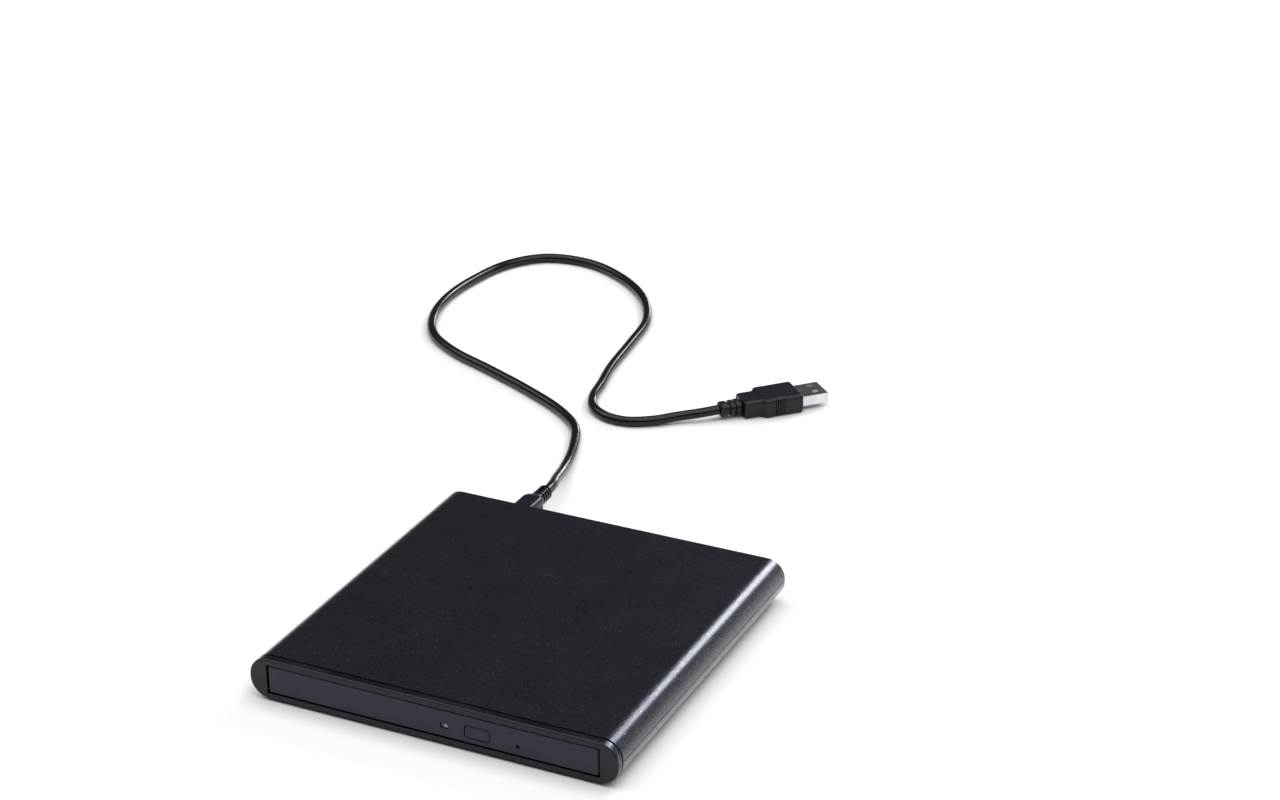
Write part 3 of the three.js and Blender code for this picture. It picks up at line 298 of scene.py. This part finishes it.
def lamp_window(name):
    """The lamp's clouded window: its left half is dark, its right half is pale."""
    dark, pale = (0.025, 0.025, 0.028), (0.3, 0.3, 0.31)
    s = Shader(name, (0.2, 0.2, 0.2), 0.3)
    low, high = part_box("led_window")
    middle = (low[0] + high[0]) / 2
    share = s.span(s.axis(s.place, "X"), middle - 0.4 * MM, middle + 0.3 * MM)
    s.drive("Base Color", s.mix(share, dark, pale))
    s.drive("Roughness", s.span(s.noise(900, 3), 0.3, 0.7, 0.25, 0.45))
    s.bump(s.noise(2500, 3), 0.2, 0.00004)
    return s.material


def film(name):
    """Amber polyimide film with its copper conductors showing through."""
    amber = (0.42, 0.2, 0.035)
    over_copper = (0.62, 0.34, 0.1)
    s = Shader(name, amber, 0.3)
    wave = s.tree.nodes.new("ShaderNodeTexWave")
    wave.bands_direction = "X"
    wave.inputs["Scale"].default_value = 160
    s.link(s.place, wave.inputs["Vector"])
    s.drive("Base Color", s.mix(wave.outputs["Fac"], amber, over_copper))
    s.drive("Roughness", s.span(s.noise(150, 3), 0.3, 0.7, 0.24, 0.4))
    s.bump(wave.outputs["Fac"], 0.1, 0.00005)
    return s.material


def winding(name):
    """The enamelled copper wire of a coil, with a painted highlight on the crown of each turn and
    painted shade between the turns.
    """
    # painted shade between the turns and a painted highlight on each turn's crown
    shaded_gap, lit_crown = (0.35, 0.16, 0.05), (0.72, 0.4, 0.16)
    s = Shader(name, (0.62, 0.33, 0.12), 0.3, 1.0)
    wave = s.tree.nodes.new("ShaderNodeTexWave")
    wave.bands_direction = "Y"
    wave.inputs["Scale"].default_value = 900
    s.link(s.place, wave.inputs["Vector"])
    # the wave bands lay the painted shade and the painted highlight across the turns
    s.drive("Base Color", s.mix(wave.outputs["Fac"], shaded_gap, lit_crown))
    s.drive("Roughness", s.span(s.noise(300, 3), 0.3, 0.7, 0.25, 0.42))
    s.bump(wave.outputs["Fac"], 0.4, 0.0001)
    return s.material


def lens_glass(name):
    s = Shader(name, (0.75, 0.82, 0.95), 0.04)
    s.set("Transmission Weight", 0.9)
    s.set("IOR", 1.52)
    s.drive("Roughness", s.span(s.noise(500, 4), 0.5, 0.8, 0.02, 0.09))
    return s.material


MATERIALS = {
    "case_paint": flake_paint(
        "case_paint", (0.0208, 0.0229, 0.0325), (0.078, 0.0855, 0.115), (0.24, 0.25, 0.29)),
    "frame_paint": frame_finish(
        "frame_paint", (0.0045, 0.0043, 0.0098), (0.041, 0.044, 0.057), (0.125, 0.135, 0.165)),
    "bezel_plastic": moulded("bezel_plastic", (0.0103, 0.0098, 0.0266), 0.4, 3200, 0.2, 0.365),
    "black_plastic": moulded("black_plastic", (0.011, 0.011, 0.012), 0.45),
    "grey_plastic": moulded("grey_plastic", (0.06, 0.06, 0.065), 0.5),
    "white_plastic": moulded("white_plastic", (0.66, 0.65, 0.6), 0.4, 1500),
    "foot_rubber": moulded("foot_rubber", (0.012, 0.012, 0.012), 0.75, 1700, 0.5, 0.3),
    "cord_pvc": pvc("cord_pvc", (0.004, 0.004, 0.007), 0.22, 0.3),
    "plug_vinyl": pvc("plug_vinyl", (0.005, 0.0055, 0.01), 0.33, 0.3),
    "lamp_window": lamp_window("lamp_window"),
    "zinc_steel": sheet_metal("zinc_steel", (0.5, 0.51, 0.53), 0.36, (50, 700, 50), 110),
    "bright_steel": sheet_metal("bright_steel", (0.66, 0.67, 0.69), 0.2, (80, 1400, 80)),
    "brass": winding("brass"),
    "board": circuit_board("board"),
    "flex_film": film("flex_film"),
    "chip_epoxy": moulded("chip_epoxy", (0.02, 0.02, 0.021), 0.55, 3500),
    "lens": lens_glass("lens"),
}
SPECIAL = {"usb_mini_plug": "plug_vinyl", "usb_a_plug": "plug_vinyl", "led_window": "lamp_window"}

# ---------------------------------------------------------- cord and plugs

CORD_DIAMETER = 0.0042
CORD_ROUTE_MM = [
    (-41.8, 98.3, 8.9),
    (-42.2, 103, 8.65),
    (-43.4, 108, 7.95),
    (-45.1, 113, 6.95),
    (-46.7, 119, 5.7),
    (-48.7, 126, 4.3),
    (-51, 134, 3.1),
    (-53.3, 142, 2.4),
    (-56.1, 150.4, 2.2),
    (-63.8, 167.3, 2.2),
    (-76.6, 179.3, 2.2),
    (-98.9, 192.2, 2.2),
    (-123.8, 204, 2.2),
    (-147.7, 214.7, 2.2),
    (-164.8, 227.6, 2.2),
    (-174.9, 245.7, 2.2),
    (-179.4, 266.8, 2.2),
    (-178.6, 290, 2.2),
    (-172.4, 315, 2.2),
    (-159.3, 329.3, 2.2),
    (-138.3, 331.5, 2.2),
    (-116.1, 321.5, 2.2),
    (-96.9, 304, 2.2),
    (-84.3, 280.6, 2.2),
    (-80.3, 255.8, 2.2),
    (-76.9, 228.7, 2.2),
    (-73.2, 211.8, 2.2),
    (-70.3, 197.5, 2.2),
    (-65.5, 188.5, 2.2),
    (-56.2, 182.5, 2.2),
    (-46.6, 182.2, 2.2),
    (-36.7, 187.4, 2.4),
    (-28.9, 194, 2.95),
    (-21.5, 199, 3.7),
    (-14.906, 204.682, 4.25),
]


def smooth_route(points, steps=6):
    """Points on the centripetal Catmull-Rom curve through the given ones."""
    ends = [2 * points[0] - points[1], *points, 2 * points[-1] - points[-2]]
    route = []
    for i in range(len(points) - 1):
        a, b, c, d = ends[i : i + 4]
        ta = 0.0
        tb = ta + math.sqrt((b - a).length)
        tc = tb + math.sqrt((c - b).length)
        td = tc + math.sqrt((d - c).length)
        for step in range(steps):
            t = tb + (tc - tb) * step / steps
            ab = a.lerp(b, (t - ta) / (tb - ta))
            bc = b.lerp(c, (t - tb) / (tc - tb))
            cd = c.lerp(d, (t - tc) / (td - tc))
            abc = ab.lerp(bc, (t - ta) / (tc - ta))
            bcd = bc.lerp(cd, (t - tb) / (td - tb))
            route.append(abc.lerp(bcd, (t - tb) / (tc - tb)))
    return route + [points[-1]]


def add_cord():
    points = smooth_route([Vector(p) * MM for p in CORD_ROUTE_MM])
    curve = bpy.data.curves.new("cord", "CURVE")
    curve.dimensions = "3D"
    curve.bevel_depth = CORD_DIAMETER / 2
    curve.bevel_resolution = 5
    curve.use_fill_caps = True
    spline = curve.splines.new("POLY")
    spline.points.add(len(points) - 1)
    for target, point in zip(spline.points, points):
        target.co = (*point, 1)
    spline.use_smooth = True
    curve.materials.append(MATERIALS["cord_pvc"])
    cord = link("cord", curve)
    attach(cord, "usb_lead")
    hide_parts("usb_cord")
    return cord, points


cord, cord_points = add_cord()

# ------------------------------------------------- CAD nodes, made smooth

WELD_DISTANCE = 0.000002
FLAT_WITHIN = math.radians(0.6)
SHARP_FROM = math.radians(35)
EDGE_WIDTH = 0.00008
WIDER_EDGES = {"front_frame": 0.00015, "tray_bezel": 0.00012, "eject_button": 0.00012}


def polish(node, width):
    """Rounds a CAD node's edges and shades its round faces smooth."""
    mesh = node.data
    if "custom_normal" in mesh.attributes:
        mesh.attributes.remove(mesh.attributes["custom_normal"])
    mesh.shade_smooth()
    weld = node.modifiers.new("weld", "WELD")
    weld.merge_threshold = WELD_DISTANCE
    flat = node.modifiers.new("flat", "DECIMATE")
    flat.decimate_type = "DISSOLVE"
    flat.angle_limit = FLAT_WITHIN
    bevel = node.modifiers.new("bevel", "BEVEL")
    bevel.width = width
    bevel.segments = 2
    bevel.limit_method = "ANGLE"
    bevel.angle_limit = SHARP_FROM
    normals = node.modifiers.new("normals", "WEIGHTED_NORMAL")
    normals.mode = "FACE_AREA"
    normals.weight = 50
    normals.keep_sharp = False


for name, node in NODES.items():
    polish(node, WIDER_EDGES.get(name, EDGE_WIDTH))
    node.data.materials.clear()
    node.data.materials.append(MATERIALS[SPECIAL.get(name, SLOT_OF[name])])

# -------------------------------------------------------- floor and lights

FLOOR_HALF_SIZE = 4
FLOOR_TONES = ((0.82, 0.812, 0.801), (0.832, 0.824, 0.815))
WORLD_COLOR = (0.08, 0.08, 0.086)
LIGHT_COLOR = (0.97, 0.985, 1.0)

# name, (azimuth from +Y towards +X, elevation), distance, size, radiance, target
LIGHTS = [
    ("overhead", (180, 86), 2.2, (8, 2.9), 2.2, (0, 0, 0)),
    ("behind", (10.5, 32.8), 2.2, (0.72, 0.48), 15.4, (0.07, 0, 0.01)),
    ("low", (34, 14), 2.2, (0.9, 1.0), 0.6, (0.07, 0, 0.01)),
    ("strip", (12.8, 27), 2.0, (0.35, 0.45), 12, (-0.08, 0.25, 0)),
    ("rear", (-4, 5), 2.0, (0.45, 0.25), 10, (-0.045, 0.115, 0)),
    ("corner", (36, 1.5), 2.2, (0.3, 0.08), 14, (-0.178, 0.289, 0)),
]


def add_floor():
    data = bpy.data.meshes.new("floor")
    shape = bmesh.new()
    bmesh.ops.create_grid(shape, x_segments=4, y_segments=4, size=FLOOR_HALF_SIZE)
    shape.to_mesh(data)
    shape.free()
    s = Shader("floor", FLOOR_TONES[0], 0.6)
    s.set("Specular IOR Level", 0.3)
    cloud = s.span(s.noise(3, 3), 0.3, 0.7)
    s.drive("Base Color", s.mix(cloud, *FLOOR_TONES))
    s.bump(s.noise(500, 3), 0.03, 0.0001)
    data.materials.append(s.material)
    floor = link("floor", data)


def add_softbox(name, direction, distance, size, radiance, target):
    """A cool rectangular light towards a point, given by its face's radiance."""
    data = bpy.data.lights.new(name, "AREA")
    data.color = LIGHT_COLOR
    data.shape = "RECTANGLE"
    data.size, data.size_y = size
    data.energy = radiance * math.pi * size[0] * size[1]
    light = link(name, data)
    azimuth, elevation = (math.radians(a) for a in direction)
    away = Vector((math.sin(azimuth) * math.cos(elevation),
                   math.cos(azimuth) * math.cos(elevation), math.sin(elevation)))
    light.location = Vector(target) + away * distance
    light.rotation_mode = "QUATERNION"
    light.rotation_quaternion = away.to_track_quat("Z", "Y")


add_floor()
for light in LIGHTS:
    add_softbox(*light)

world = bpy.data.worlds.new("studio")
world.use_nodes = True
background = world.node_tree.nodes["Background"]
background.inputs["Color"].default_value = (*WORLD_COLOR, 1)
SCENE.world = world
SCENE.view_settings.view_transform = "Standard"
SCENE.view_settings.look = "None"
